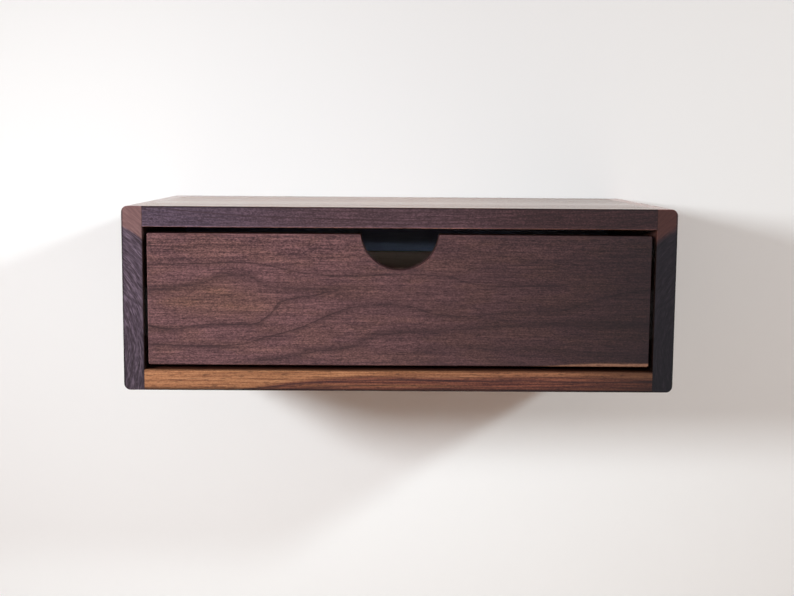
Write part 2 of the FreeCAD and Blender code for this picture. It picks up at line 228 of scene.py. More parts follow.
def yearly_lines(finish, level, width, seed):
    """Dark late wood of the yearly rings, where level grows by width each year. It starts softly and ends sharply."""
    count = finish.math("DIVIDE", level, width)
    year = finish.math("FLOOR", count)
    part = finish.math("FRACT", count)
    drawn = finish.node("ShaderNodeTexWhiteNoise", {"W": finish.total(year, seed)}, noise_dimensions="1D")
    strength = finish.math("MULTIPLY_ADD", drawn.outputs["Value"], 0.8, 0.15)
    late = finish.times(finish.rise(part, 0.35, 0.94), finish.rise(part, 0.96, 1.0, 1.0, 0.0))
    return finish.times(late, strength)


def wander(finish, grain, level, reach, seed):
    """Lets the rings wander by a few millimetres, slowly along the grain and faster across it."""
    broad = finish.noise(grain, (170, 34, 34), seed, 1.0)
    fine = finish.noise(grain, (42, 9, 9), seed + 1, 2.0)
    drift = finish.total(finish.times(broad, reach), finish.times(fine, reach * 0.22))
    return finish.math("SUBTRACT", finish.total(level, drift), reach * 0.61)


def oiled_walnut(finish, grain, grain_axis, heart, layers, lines, shade, seed, gloss=EDGE_GLOSS, streaks=1.0,
                 relief=0.04, end_dark=END_DARK, fibre=(40, 1.5, 1.5), shares=(0.42, 0.48, 0.1), pored=0.5):
    """Colour, gloss and open pores of oiled walnut. Lines go from 0 to 1, and shade is a factor.

    A layer is a share from 0 to 1 and the tones that it brings over the heartwood.
    """
    fibres = finish.noise(grain, fibre, seed + 2, 3.0, 0.62)
    flecks = finish.noise(grain, (1.7, 1.0, 1.0), seed + 5, 1.0, 0.6)
    bands = finish.noise(grain, (220, 10, 10), seed + 3, 2.0)
    pores = finish.rise(finish.noise(grain, (8, 1.0, 1.0), seed + 4, 1.0), 0.57, 0.69)
    tone = finish.total(*(finish.times(*part) for part in zip((fibres, flecks, bands), shares)))
    tone = finish.math("MULTIPLY_ADD", finish.math("SUBTRACT", tone, 0.5), streaks, 0.5)
    colour = finish.ramp(tone, heart)
    for share, tones in layers:
        colour = finish.blend(share, colour, finish.ramp(tone, tones))
    colour = finish.blend(finish.times(lines, 0.9), colour, line_tone)
    colour = finish.blend(finish.times(pores, pored), colour, pore_tone)
    end = finish.math("POWER", finish.facing(grain_axis), 3.0)
    shade = finish.times(shade, finish.math("MULTIPLY_ADD", end, end_dark - 1, 1.0))
    colour = finish.blend(1.0, colour, finish.spot(shade, shade, shade), "MULTIPLY")
    finish.shader.inputs["Specular IOR Level"].default_value = OIL_SHINE
    finish.shader.inputs["Specular Tint"].default_value = OIL_TINT
    roughness = finish.total(gloss, finish.math("MULTIPLY_ADD", fibres, 0.14, -0.07), finish.times(pores, 0.12))
    height = finish.math("SUBTRACT", finish.times(fibres, 0.3), pores)
    return finish.dress(colour, roughness, height, relief)


# The figure of the drawer front. Each dark line has its way, as places along the front and depths below its top edge,
# then its strength and half width, the strength of the soft dark wood before and after it and how far that reaches,
# and the stretch of the front where it shows.
front_lines = [
    ([(-232, 29), (-190, 28), (-148, 26.5), (-120, 29.5), (-85, 36), (-45, 38.5), (0, 36.5), (42, 38), (60, 43),
      (85, 46.5), (125, 47), (170, 43), (232, 38)], 0.95, 1.25, 0.25, 0.15, 5.0, (-260, -235, 135, 170)),
    ([(-232, 53), (-200, 49), (-180, 45), (-160, 39.3), (-147, 38.8), (-130, 44), (-112, 50), (-80, 50.6), (-40, 50),
      (30, 54), (120, 60), (180, 52), (232, 42)], 0.7, 2.0, 0.6, 0.4, 7.0, (-260, -225, -60, -20)),
    ([(-232, 85), (-208, 88.3), (-185, 85), (-162, 83.5), (-142, 84), (-125, 78.5), (-117, 72), (-109, 62.5),
      (-96, 58.8), (-78, 56.6), (-56, 52.5), (30, 57), (120, 64), (180, 56), (232, 45)], 1.0, 1.6, 0.3, 0.55, 6.0,
     (-260, -235, -75, -40)),
    ([(-232, 102.6), (-180, 104), (-158, 103.5), (-120, 94.6), (-95, 87.6), (-60, 73), (-38, 66.5), (-10, 64.5),
      (8, 66), (36, 73.5), (60, 75), (100, 71.5), (150, 69), (165, 64.3), (200, 54.5), (232, 49)], 1.0, 1.5, 0.3, 0.55,
     7.0, (-260, -235, 240, 260)),
    ([(-232, 124), (-160, 118.5), (-120, 116.5), (-100, 113.6), (-80, 109.2), (-50, 106), (-36, 100.5), (-24, 94.7),
      (0, 90.7), (40, 88.5), (80, 85.5), (120, 82.5), (170, 83), (232, 83.5)], 0.75, 1.8, 0.6, 0.35, 9.0,
     (-150, -110, 240, 260)),
    ([(-232, 138), (-60, 128), (-10, 113), (20, 105), (50, 102.5), (120, 103.5), (160, 106), (232, 110)], 0.5, 1.5,
     0.2, 0.5, 11.0, (0, 30, 240, 260)),
]


# A dark swirl where the third line climbs: its middle, its half length and half width, and how steeply it lies
swirl_middle = (-112.0, 66.0)
swirl_size = (8.0, 4.5)
swirl_lean = 1.1

# A golden patch between the second line and the third: its middle, and its half length and half width
gold_middle = (-168.0, 62.0)
gold_size = (75.0, 24.0)


def front_figure(finish, grain, down):
    """The drawer front's wavy flat-sawn lines, from 0 to 1, with faint yearly lines that follow them."""
    shiver = finish.noise(grain, (10, 4, 4), 11, 4.0, 0.68)
    depth = finish.total(down, finish.math("MULTIPLY_ADD", shiver, 2.8, -1.4))
    patchy = finish.rise(finish.noise(grain, (34, 14, 14), 12, 2.0), 0.32, 0.62, 0.75, 1.0)
    ways = [finish.path(finish.x, line[0]) for line in front_lines]
    dark = 0.0
    level = 0.0
    for i, (points, strength, core, before, after, reach, span) in enumerate(front_lines):
        past = finish.math("SUBTRACT", depth, ways[i])
        line = finish.rise(finish.math("ABSOLUTE", past), 0.0, core, strength, 0.0)
        lower = finish.times(finish.rise(past, -core, 0.0), finish.rise(past, 0.0, reach, after, 0.0))
        upper = finish.times(finish.rise(past, -reach, 0.0), finish.rise(past, 0.0, core, before, 0.0))
        drawn = finish.math("MAXIMUM", line, finish.math("MAXIMUM", lower, upper))
        shown = finish.times(finish.rise(finish.x, span[0], span[1]), finish.rise(finish.x, span[2], span[3], 1.0, 0.0))
        dark = finish.math("MAXIMUM", dark, finish.times(drawn, shown))
        if i:
            room = finish.math("MAXIMUM", finish.math("SUBTRACT", ways[i], ways[i - 1]), 2.0)
            share = finish.math("DIVIDE", finish.math("SUBTRACT", depth, ways[i - 1]), room)
            level = finish.total(level, finish.rise(share, 0.0, 1.0))
    away = finish.total(finish.x, -swirl_middle[0])
    below = finish.total(depth, -swirl_middle[1], finish.times(away, swirl_lean))
    reach = finish.spot(finish.math("DIVIDE", away, swirl_size[0]), finish.math("DIVIDE", below, swirl_size[1]), 0.0)
    swirl = finish.rise(finish.vector("LENGTH", reach), 0.2, 1.0, 0.8, 0.0)
    dark = finish.math("MAXIMUM", dark, swirl)
    first = finish.math("DIVIDE", finish.math("MINIMUM", finish.math("SUBTRACT", depth, ways[0]), 0.0), 14.0)
    rings = finish.times(yearly_lines(finish, finish.total(level, first), 0.27, 21), 0.22)
    fade = finish.rise(finish.x, -30.0, 90.0, 1.0, 0.75)
    return finish.total(finish.times(finish.times(dark, patchy), fade), rings)


# Factors on each board's colour along its length: partly the wood's own tone, partly painted shade that darkens towards
# the right end, away from the light at the left.
front_tone_and_painted_shade = [(-232, 1.09), (-140, 1.2), (-66, 1.12), (7, 0.94), (80, 0.7), (153, 0.46), (232, 0.23)]
top_tone_and_painted_shade = [(-236, 1.28), (-100, 1.35), (7, 1.42), (120, 0.87), (236, 0.6)]
bottom_tone_and_painted_shade = [(-236, 1.06), (-110, 0.95), (-45, 1.06), (35, 0.99), (115, 1.1), (158, 0.88), (200, 0.58), (236, 0.37)]


def walnut_front():
    finish = Finish("walnut_front")
    low, high = millimetres("drawer_front")
    grain = finish.spot(finish.x, finish.z, finish.y)
    down = finish.math("SUBTRACT", high.z, finish.z)
    lines = front_figure(finish, grain, down)
    tip = finish.total(finish.math("SUBTRACT", finish.z, low.z), finish.times(finish.noise(grain, (50, 5, 5), 31), 1.6))
    strip = finish.rise(finish.x, 95.0, 190.0, 0.0, 4.4)
    sapwood = finish.rise(finish.math("SUBTRACT", tip, strip), -1.2, 0.8, 1.0, 0.0)
    away = finish.math("DIVIDE", finish.total(finish.x, -gold_middle[0]), gold_size[0])
    below = finish.math("DIVIDE", finish.total(down, -gold_middle[1]), gold_size[1])
    patch = finish.rise(finish.vector("LENGTH", finish.spot(away, below, 0.0)), 0.2, 1.0, 0.5, 0.0)
    golden = finish.total(patch, finish.rise(finish.noise(grain, (46, 13, 13), 14, 2.0), 0.42, 0.66, 0.0, 0.26))
    # Painted shade along the front, darker to the right, kept off the sapwood.
    shade = finish.math("MAXIMUM", finish.path(finish.x, front_tone_and_painted_shade), sapwood)
    # Painted highlight: the front's left and top edges are lightened, as if their rounded edges caught the light.
    painted_edge_shading = finish.times(finish.rise(finish.x, low.x, low.x + 1.6, 1.5, 1.0), finish.rise(down, 0.0, 1.6, 1.5, 1.0))
    # Painted shade: the front's upper edge face, in the gap under the top board, is darkened to a quarter.
    upper = finish.times(finish.rise(finish.facing((0, 0, 1)), 0.6, 0.95), finish.rise(down, 0.3, 0.9, 1.0, 0.0))
    shade = finish.times(finish.times(shade, painted_edge_shading), finish.math("MULTIPLY_ADD", upper, -0.75, 1.0))
    streaks = finish.times(finish.rise(down, 12.0, 36.0, 1.9, 1.5), finish.rise(finish.x, -90.0, 130.0, 1.0, 0.76))
    layers = [(golden, front_gold), (sapwood, front_sap)]
    return oiled_walnut(finish, grain, (1, 0, 0), front_heart, layers, lines, shade, 10, streaks=streaks)


# Two dark lines that climb to the right end of the top board's front edge: places along it and depths below its top,
# then a strength, a half width and the stretch over which they start.
top_lines = [
    ([(-236, 18), (120, 19.5), (180, 18.5), (208, 16.2), (225, 12.5), (239, 9)], 0.75, 1.7, (110, 190)),
    ([(-236, 15), (120, 15), (190, 13), (210, 10.8), (228, 7.5), (239, 4)], 0.7, 1.5, (150, 215)),
]


def soft_bloom(finish):
    """The warm bloom that fibres at the surface show in a flat view."""
    finish.shader.inputs["Sheen Weight"].default_value = BLOOM
    finish.shader.inputs["Sheen Roughness"].default_value = BLOOM_GLOSS
    finish.shader.inputs["Sheen Tint"].default_value = BLOOM_TINT


def walnut_top():
    """The top board: faint lines that sag towards its middle, and a smoother face that mirrors the wall."""
    finish = Finish("walnut_top")
    grain = finish.spot(finish.x, finish.y, finish.z)
    aside = finish.math("DIVIDE", finish.total(finish.x, 15.0), 235.0)
    sag = finish.times(finish.times(aside, aside), -13.0)
    level = wander(finish, grain, finish.total(finish.z, sag, finish.times(finish.y, 0.22)), 5.0, 41)
    face = finish.rise(finish.facing((0, 0, 1)), 0.5, 0.9)
    lines = finish.times(yearly_lines(finish, level, 3.6, 42), finish.math("MULTIPLY_ADD", face, 0.25, 0.75))
    low, high = millimetres("top_panel")
    down = wander(finish, grain, finish.math("SUBTRACT", high.z, finish.z), 1.6, 46)
    for points, strength, core, start in top_lines:
        past = finish.math("ABSOLUTE", finish.math("SUBTRACT", down, finish.path(finish.x, points)))
        shown = finish.times(finish.rise(finish.x, *start), finish.math("SUBTRACT", 1.0, face))
        lines = finish.math("MAXIMUM", lines, finish.times(finish.rise(past, 0.0, core, strength, 0.0), shown))
    ribbons = finish.math("MULTIPLY_ADD", finish.noise(grain, (700, 26, 26), 44, 2.0, 0.6), 0.3, 0.06)
    polish = finish.total(ribbons, finish.rise(finish.y, -150.0, -20.0, 0.0, 0.05))
    gloss = finish.total(EDGE_GLOSS, finish.times(face, finish.total(polish, -EDGE_GLOSS)))
    # Painted highlight along the lower edge of the top board's front, and painted shade along its upper edge. The top
    # face is left out.
    painted_edge_shading = finish.times(finish.rise(finish.z, low.z, low.z + 2.0, 2.6, 1.0),
                         finish.rise(finish.z, high.z - 2.0, high.z - 0.7, 1.0, 0.3))
    painted_edge_shading = finish.math("MAXIMUM", painted_edge_shading, face)
    # Painted shade along the top board's edge, darker to the right.
    shade = finish.times(finish.path(finish.x, top_tone_and_painted_shade), painted_edge_shading)
    # Painted sheen: the left end of the top edge is blended towards bluish tones.
    blue = finish.rise(finish.x, -230.0, -40.0, 0.9, 0.0)
    brown = finish.rise(finish.x, 0.0, 160.0, 0.0, 0.9)
    layers = [(blue, top_painted_sheen), (brown, top_brown), (face, top_face)]
    soft_bloom(finish)
    return oiled_walnut(finish, grain, (1, 0, 0), top_heart, layers, lines, shade, 40, gloss=gloss, streaks=1.5,
                        relief=0.015)


# The bottom board's front edge: golden sapwood above a brown hill that rises from the left to the middle. Its dark
# lines have ways, as places along the edge and heights above its lower arris, then a strength, a half width and the
# stretch where they show.
brown_hill = [(-236, -14), (-160, -3), (-138, 1), (-118, 5), (-95, 8.8), (-62, 11.4), (-20, 13.4), (25, 12.8),
              (80, 12.4), (140, 13.4), (236, 12.4)]
bottom_lines = [
    ([(-236, -6), (-160, -1), (-146, 0.8), (-121, 3.1), (-100, 6.1), (-76, 8.4), (-38, 9.8), (2, 10.8), (60, 9.5),
      (120, 10.3), (170, 9.2), (236, 10.4)], 0.85, 1.2, (-236, -150, 240, 260)),
    ([(-236, -12), (-120, -1), (-103, 0.8), (-84, 2.6), (-53, 4.5), (-22, 5.6), (40, 4.7), (110, 4.0), (180, 5.0),
      (236, 4.4)], 0.6, 1.1, (-236, -110, 240, 260)),
    ([(-236, 9), (-150, 10), (-69, 12.5), (2, 13.6), (80, 12.7), (160, 13.6), (236, 13)], 0.4, 0.9,
     (-100, -60, 240, 260)),
    ([(-236, 8.8), (-204, 10), (-187, 10.8), (-150, 11.5), (236, 12)], 0.4, 0.8, (-260, -240, -190, -165)),
]
LINE_DIP = 0.55


def walnut_bottom():
    finish = Finish("walnut_bottom")
    low, high = millimetres("bottom_panel")
    grain = finish.spot(finish.x, finish.y, finish.z)
    up = finish.math("SUBTRACT", finish.z, low.z)
    behind = finish.math("SUBTRACT", finish.y, low.y)
    dipped = finish.math("SUBTRACT", up, finish.times(behind, LINE_DIP))
    dipped = wander(finish, grain, dipped, 1.6, 51)
    level = finish.math("SUBTRACT", dipped, finish.path(finish.x, brown_hill))
    lines = finish.times(yearly_lines(finish, level, 2.7, 52), finish.rise(level, 0.6, 3.0, 0.5, 0.2))
    for points, strength, core, span in bottom_lines:
        past = finish.math("ABSOLUTE", finish.math("SUBTRACT", dipped, finish.path(finish.x, points)))
        shown = finish.times(finish.rise(finish.x, *span[:2]), finish.rise(finish.x, *span[2:], 1.0, 0.0))
        lines = finish.math("MAXIMUM", lines, finish.times(finish.rise(past, 0.0, core, strength, 0.0), shown))
    golden = finish.times(finish.rise(level, -2.0, 3.0), finish.rise(finish.x, -60.0, 130.0, 1.0, 0.62))
    buried = finish.rise(behind, 2.0, 7.0, 1.0, 0.0)
    flat = finish.rise(finish.facing((0, 0, 1)), 0.7, 0.95)
    under = finish.times(flat, finish.rise(up, 0.5, 1.0, 0.6, 0.0))
    streak = finish.times(finish.rise(up, 3.2, 5.0), finish.rise(up, 5.4, 7.2, 0.6, 0.0))
    streak = finish.times(streak, finish.rise(finish.x, -110.0, -70.0))
    streak = finish.times(streak, finish.rise(finish.x, 20.0, 80.0, 1.0, 0.0))
    golden = finish.math("MAXIMUM", golden, streak)
    sapwood = finish.math("MAXIMUM", finish.times(golden, buried), under)
    # Painted shade: the bottom board's front edge darkens strongly towards its lower edge and a little towards its
    # upper edge. Its top face, seen in the gap under the drawer, and its underside are darkened slightly.
    painted_edge_shading = finish.times(finish.rise(up, 0.6, 4.2, 0.12, 1.0), finish.rise(up, 17.6, 18.8, 1.0, 0.6))
    painted_edge_shading = finish.math("MAXIMUM", painted_edge_shading, finish.times(flat, 0.8))
    # Painted shade along the bottom board's edge, darker to the right.
    shade = finish.times(finish.path(finish.x, bottom_tone_and_painted_shade), painted_edge_shading)
    return oiled_walnut(finish, grain, (1, 0, 0), bottom_heart, [(sapwood, bottom_sap)], lines, shade, 50,
                        streaks=2.0, fibre=(70, 1.2, 1.2), shares=(0.7, 0.22, 0.08))


side_pith = (350.0, -60.0)
inner_face = 235.0
sap_middle = (244.5, 53.5)


def walnut_side(name, hand, shade, streaks, end_dark, sap_slope, sap_softness, sap_tones):
    """A side board: grain from front to back, the tree's middle below and outside it, sapwood at its upper edge.

    Its inner face is darker: painted shade beside the drawer. The sapwood's border waves more and blurs towards the
    back.
    """
    finish = Finish(name)
    low, high = millimetres("left_side")
    outward = finish.times(finish.x, hand)
    aside = finish.math("SUBTRACT", side_pith[0], outward)
    rise = finish.math("SUBTRACT", finish.z, side_pith[1])
    radius = finish.vector("LENGTH", finish.spot(aside, rise, 0.0))
    around = finish.times(finish.math("ARCTAN2", rise, aside), 150.0)
    plain = finish.spot(finish.y, finish.z, outward)
    level = wander(finish, plain, radius, 5.0, 61)
    grain = finish.spot(finish.y, level, finish.times(around, 0.12))
    behind = finish.math("SUBTRACT", finish.y, low.y)
    lines = finish.times(yearly_lines(finish, level, 5.3, 62), 0.42 * streaks)
    lean = finish.times(finish.math("SUBTRACT", outward, sap_middle[0]), sap_slope)
    wave = finish.math("SUBTRACT", finish.noise(plain, (130, 14, 14), 64, 2.0), 0.5)
    wave = finish.times(wave, finish.rise(behind, 0.0, 70.0, 3.0, 26.0))
    edge = finish.total(finish.z, -sap_middle[1], wave, finish.times(lean, -1.0))
    soft = finish.rise(behind, 0.0, 40.0, sap_softness, 4.5)
    sapwood = finish.rise(edge, finish.times(soft, -1.0), soft)
    lines = finish.times(lines, finish.math("MULTIPLY_ADD", sapwood, -0.95, 1.0))
    last_ring = finish.rise(finish.math("ABSOLUTE", finish.total(edge, soft)), 0.0, 1.2, 0.45, 0.0)
    lines = finish.math("MAXIMUM", lines, last_ring)
    shade = finish.math("MULTIPLY_ADD", sapwood, 1.0 - shade, shade)
    # Painted shade: the inner face, beside the drawer, is darkened to about a third.
    shade = finish.times(shade, finish.rise(outward, inner_face, inner_face + 1.0, 0.35, 1.0))
    shade = finish.times(shade, finish.rise(finish.z, low.z, 0.0, 0.7, 1.08))
    end = finish.rise(finish.facing((0, 1, 0)), 0.2, 0.5)
    # Painted shade: a dark line along the outer edge of the board's front end.
    painted_rim_shade = finish.times(finish.rise(outward, -low.x - 2.2, -low.x - 0.8), end)
    shade = finish.times(shade, finish.math("MULTIPLY_ADD", painted_rim_shade, -0.65, 1.0))
    upper = finish.rise(finish.facing((0, 0, 1)), 0.8, 0.97)
    gloss = finish.math("MULTIPLY_ADD", upper, UPPER_GLOSS - EDGE_GLOSS, EDGE_GLOSS)
    outer = finish.rise(finish.facing((1, 0, 0)), 0.5, 0.9)
    layers = [(outer, side_face), (sapwood, sap_tones)]
    soft_bloom(finish)
    calm = finish.math("MULTIPLY_ADD", sapwood, -0.35 * streaks, streaks)
    pored = finish.math("MULTIPLY_ADD", sapwood, -0.4, 0.5)
    return oiled_walnut(finish, grain, (0, 1, 0), side_heart, layers, lines, shade, 60, gloss=gloss,
                        streaks=calm, end_dark=end_dark, pored=pored)


# Pale woods

def pale_wood(name, grain_axis, tones, seed):
    """Clear-coated pale wood: faint rings, fine fibres and small dark flecks."""
    finish = Finish(name)
    order = {"x": (finish.x, finish.z, finish.y), "y": (finish.y, finish.z, finish.x)}[grain_axis]
    grain = finish.spot(*order)
    level = wander(finish, grain, finish.total(order[1], finish.times(order[2], 0.4)), 26.0, seed)
    lines = yearly_lines(finish, level, 7.0, seed)
    fibres = finish.noise(grain, (38, 0.9, 0.9), seed + 1, 3.0, 0.6)
    bands = finish.noise(grain, (200, 12, 12), seed + 2, 2.0)
    tone = finish.total(finish.times(fibres, 0.45), finish.times(bands, 0.55))
    colour = finish.ramp(tone, [(0.3, tones[0]), (0.5, tones[1]), (0.7, tones[2])])
    colour = finish.blend(finish.times(lines, 0.35), colour, tones[3])
    flecks = finish.rise(finish.noise(grain, (4, 0.5, 0.5), seed + 3, 1.0), 0.66, 0.74)
    colour = finish.blend(finish.times(flecks, 0.35), colour, tones[3])
    roughness = finish.total(0.42, finish.times(fibres, 0.2))
    return finish.dress(colour, roughness, finish.math("SUBTRACT", fibres, flecks), 0.03)


maple_tones = [card(194, 176, 160), card(210, 194, 180), card(225, 212, 199), card(156, 132, 114)]
cleat_tones = [card(174, 138, 100), card(196, 162, 122), card(212, 182, 144), card(138, 100, 68)]


birch_tones = [card(194, 172, 148), card(210, 190, 168), card(224, 207, 186), card(126, 94, 66)]
# A pale blue coat for the back panel's inner face: painted light, standing in for the faint blue light seen in the dark
# inside through the notch and gaps.
inner_painted_light = [card(164, 188, 226), card(186, 208, 240)]
painted_light_depth = (0.05, 0.15)


def plywood(name, through, face, ply_thickness, tones, paint=None):
    """Plywood: rotary-cut veneer on its faces and crossed plies on its edges. Its first face may carry a pale blue coat
    of painted light.
    """
    finish = Finish(name)
    depth = {"y": finish.y, "z": finish.z}[through]
    other = {"y": finish.z, "z": finish.y}[through]
    ply = finish.math("FLOOR", finish.math("DIVIDE", finish.math("SUBTRACT", depth, face), ply_thickness))
    crossed = finish.math("MODULO", finish.math("ABSOLUTE", ply), 2.0)
    grain = finish.spot(finish.x, other, finish.times(ply, 40.0))
    swirl = finish.noise(grain, (210, 46, 40), 71, 3.0)
    rings = finish.math("PINGPONG", finish.times(swirl, 9.0), 0.5)
    fibres = finish.noise(grain, (26, 0.8, 40), 72, 3.0, 0.6)
    tone = finish.total(finish.times(rings, 0.7), finish.times(fibres, 0.5))
    colour = finish.ramp(tone, [(0.2, tones[0]), (0.45, tones[1]), (0.7, tones[2])])
    edge = finish.math("SUBTRACT", 1.0, finish.facing({"y": (0, 1, 0), "z": (0, 0, 1)}[through]))
    shown = finish.times(finish.times(crossed, edge), 0.55)
    colour = finish.blend(shown, colour, tones[3])
    # Painted light: the pale blue coat on the first face.
    if paint:
        coat = finish.rise(finish.math("SUBTRACT", depth, face), *painted_light_depth, 1.0, 0.0)
        colour = finish.blend(coat, colour, finish.ramp(fibres, [(0.35, paint[0]), (0.65, paint[1])]))
    return finish.dress(colour, finish.total(0.45, finish.times(fibres, 0.2)), fibres, 0.03)


# Metal and rubber

def zinc_steel(name, tones, gloss, seed):
    """Zinc-plated steel: rolled streaks along the slide, cloudy plating and light scuffs."""
    finish = Finish(name)
    streaks = finish.noise(finish.place, (0.5, 60, 0.5), seed, 3.0, 0.6)
    clouds = finish.noise(finish.place, (9, 14, 9), seed + 1, 3.0)
    scuffs = finish.rise(finish.noise(finish.place, (3.0, 22, 3.0), seed + 2, 4.0, 0.7), 0.60, 0.72)
    tone = finish.total(finish.times(streaks, 0.5), finish.times(clouds, 0.5))
    colour = finish.ramp(tone, [(0.32, tones[0]), (0.5, tones[1]), (0.68, tones[2])])
    colour = finish.blend(finish.times(scuffs, 0.3), colour, tones[0])
    finish.shader.inputs["Metallic"].default_value = 1.0
    roughness = finish.total(gloss, finish.times(clouds, 0.18), finish.times(scuffs, 0.12))
    return finish.dress(colour, roughness, finish.total(streaks, finish.times(scuffs, 0.5)), 0.01)


def ball_steel():
    """Polished balls under a film of oil."""
    finish = Finish("ball_steel")
    film = finish.noise(finish.place, (2.2, 2.2, 2.2), 91, 2.0)
    colour = finish.ramp(film, [(0.35, card(196, 198, 202)), (0.65, card(226, 227, 230))])
    finish.shader.inputs["Metallic"].default_value = 1.0
    return finish.dress(colour, finish.rise(film, 0.3, 0.7, 0.06, 0.16), film, 0.002)


def bumper_rubber():
    finish = Finish("bumper_rubber")
    grit = finish.noise(finish.place, (0.5, 0.5, 0.5), 95, 3.0)
    bloom = finish.noise(finish.place, (6, 6, 6), 96, 2.0)
    colour = finish.ramp(bloom, [(0.35, card(30, 30, 31)), (0.65, card(48, 48, 50))])
    return finish.dress(colour, finish.rise(bloom, 0.3, 0.7, 0.62, 0.8), grit, 0.03)


# What repeats on the slides, made with geometry nodes

class Form(Wiring):
    """A geometry node tree with named sizes in millimetres. Its points carry an aim, the way a copy is turned."""

    def __init__(self, name, sizes):
        super().__init__(bpy.data.node_groups.new(name, "GeometryNodeTree"))
        sockets = self.tree.interface
        sockets.new_socket("Points", in_out="INPUT", socket_type="NodeSocketGeometry")
        for size in sizes:
            sockets.new_socket(size, in_out="INPUT", socket_type="NodeSocketFloat")
        sockets.new_socket("Finish", in_out="INPUT", socket_type="NodeSocketMaterial")
        sockets.new_socket("Made", in_out="OUTPUT", socket_type="NodeSocketGeometry")
        self.given = self.node("NodeGroupInput").outputs
        self.sizes = {size: self.math("MULTIPLY", self.given[size], MM) for size in sizes}

    def share(self, size, factor):
        return self.math("MULTIPLY", self.sizes[size], factor)

    def spot(self, x, y, z):
        return self.node("ShaderNodeCombineXYZ", {0: x, 1: y, 2: z}).outputs[0]

    def moved(self, shape, x=0.0, y=0.0, z=0.0):
        values = {"Geometry": shape, "Translation": self.spot(x, y, z)}
        return self.node("GeometryNodeTransform", values).outputs[0]

    def joined(self, shapes):
        made = self.node("GeometryNodeJoinGeometry")
        for shape in shapes:
            self.tree.links.new(shape, made.inputs[0])
        return made.outputs[0]

    def turned(self, sections, sides):
        """A closed turned form on z. A section is its height and its radius, from the lowest up."""
        parts = []
        for i, ((low, wide), (high, narrow)) in enumerate(zip(sections, sections[1:])):
            depth = self.math("SUBTRACT", high, low)
            values = {"Vertices": sides, "Radius Bottom": wide, "Radius Top": narrow, "Depth": depth}
            cone = self.node("GeometryNodeMeshCone", values, fill_type="NONE")
            parts.append(self.moved(cone.outputs["Mesh"], z=low))
        for height, radius in (sections[0], sections[-1]):
            disc = self.node("GeometryNodeMeshCircle", {"Vertices": sides, "Radius": radius}, fill_type="NGON")
            parts.append(self.moved(disc.outputs[0], z=height))
        whole = self.node("GeometryNodeMergeByDistance", {"Geometry": self.joined(parts), "Distance": 0.001 * MM})
        return whole.outputs[0]

    def box(self, x, y, z):
        return self.node("GeometryNodeMeshCube", {"Size": self.spot(x, y, z)}).outputs["Mesh"]

    def cut(self, shape, cutters):
        made = self.node("GeometryNodeMeshBoolean", {"Mesh 1": shape}, operation="DIFFERENCE", solver="EXACT")
        for cutter in cutters:
            self.tree.links.new(cutter, made.inputs["Mesh 2"])
        return made.outputs["Mesh"]

    def aimed_copies(self, shape, axis, spin=0.0, seed=0):
        """A copy of the shape at every point, its axis turned to the point's aim, with a random spin round it."""
        aim = self.node("GeometryNodeInputNamedAttribute", {"Name": "aim"}, data_type="FLOAT_VECTOR").outputs[0]
        turn = self.node("FunctionNodeAlignRotationToVector", {"Vector": aim}, axis=axis).outputs[0]
        if spin:
            drawn = self.node("FunctionNodeRandomValue", data_type="FLOAT")
            low, high = [socket for socket in drawn.inputs if socket.type == "VALUE"][:2]
            low.default_value, high.default_value = 0.0, spin
            drawn.inputs["Seed"].default_value = seed
            angle = next(socket for socket in drawn.outputs if socket.type == "VALUE")
            twist = self.node("FunctionNodeAxisAngleToRotation", {"Axis": (0, 0, 1), "Angle": angle}).outputs[0]
            values = {"Rotation": turn, "Rotate By": twist}
            turn = self.node("FunctionNodeRotateRotation", values, rotation_space="LOCAL").outputs[0]
        values = {"Points": self.given["Points"], "Instance": shape, "Rotation": turn}
        return self.node("GeometryNodeInstanceOnPoints", values).outputs[0]

    def ends_in(self, copies, smooth_below=35.0):
        """Real faces from the copies, smooth where they meet at less than an angle, in the finish that is given."""
        real = self.node("GeometryNodeRealizeInstances", {"Geometry": copies}).outputs[0]
        smooth = self.node("GeometryNodeSetShadeSmooth", {"Geometry": real, "Shade Smooth": True}).outputs[0]
        bend = self.node("GeometryNodeInputMeshEdgeAngle").outputs["Unsigned Angle"]
        sharp = self.math("GREATER_THAN", bend, math.radians(smooth_below))
        values = {"Geometry": smooth, "Selection": sharp, "Shade Smooth": False}
        creased = self.node("GeometryNodeSetShadeSmooth", values, domain="EDGE").outputs[0]
        values = {"Geometry": creased, "Material": self.given["Finish"]}
        dressed = self.node("GeometryNodeSetMaterial", values).outputs[0]
        self.node("NodeGroupOutput", {0: dressed})

    def make(self, name, points, aims, sizes, finish, body, slot, replaced):
        """Makes the copies at these points as one plain mesh that rides on a body in place of CAD nodes."""
        carrier = bpy.data.meshes.new(name + "_points")
        carrier.from_pydata([place * MM for place in points], [], [])
        aim = carrier.attributes.new("aim", "FLOAT_VECTOR", "POINT")
        for i, way in enumerate(aims):
            aim.data[i].vector = way
        maker = bpy.data.objects.new(name + "_maker", carrier)
        bpy.context.scene.collection.objects.link(maker)
        modifier = maker.modifiers.new(name, "NODES")
        modifier.node_group = self.tree
        given = {**sizes, "Finish": finish}
        for item in self.tree.interface.items_tree:
            if item.in_out == "INPUT" and item.name in given:
                modifier[item.identifier] = given[item.name]
        bpy.context.view_layer.update()
        evaluated = maker.evaluated_get(bpy.context.evaluated_depsgraph_get())
        mesh = bpy.data.meshes.new_from_object(evaluated)
        maker.modifiers.remove(modifier)
        bpy.data.objects.remove(maker)
        piece = bpy.data.objects.new(name, mesh)
        bpy.context.scene.collection.objects.link(piece)
        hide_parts(*replaced)
        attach(piece, body)
        return piece


HEAD_SHAPE = [(-1.0, 0.56), (-0.86, 0.76), (-0.6, 0.93), (-0.3, 1.0), (-0.06, 1.0), (0.0, 0.96)]
CORE_SHARE = 0.72
ROUND_SIDES = 32
STEM_SIDES = 16


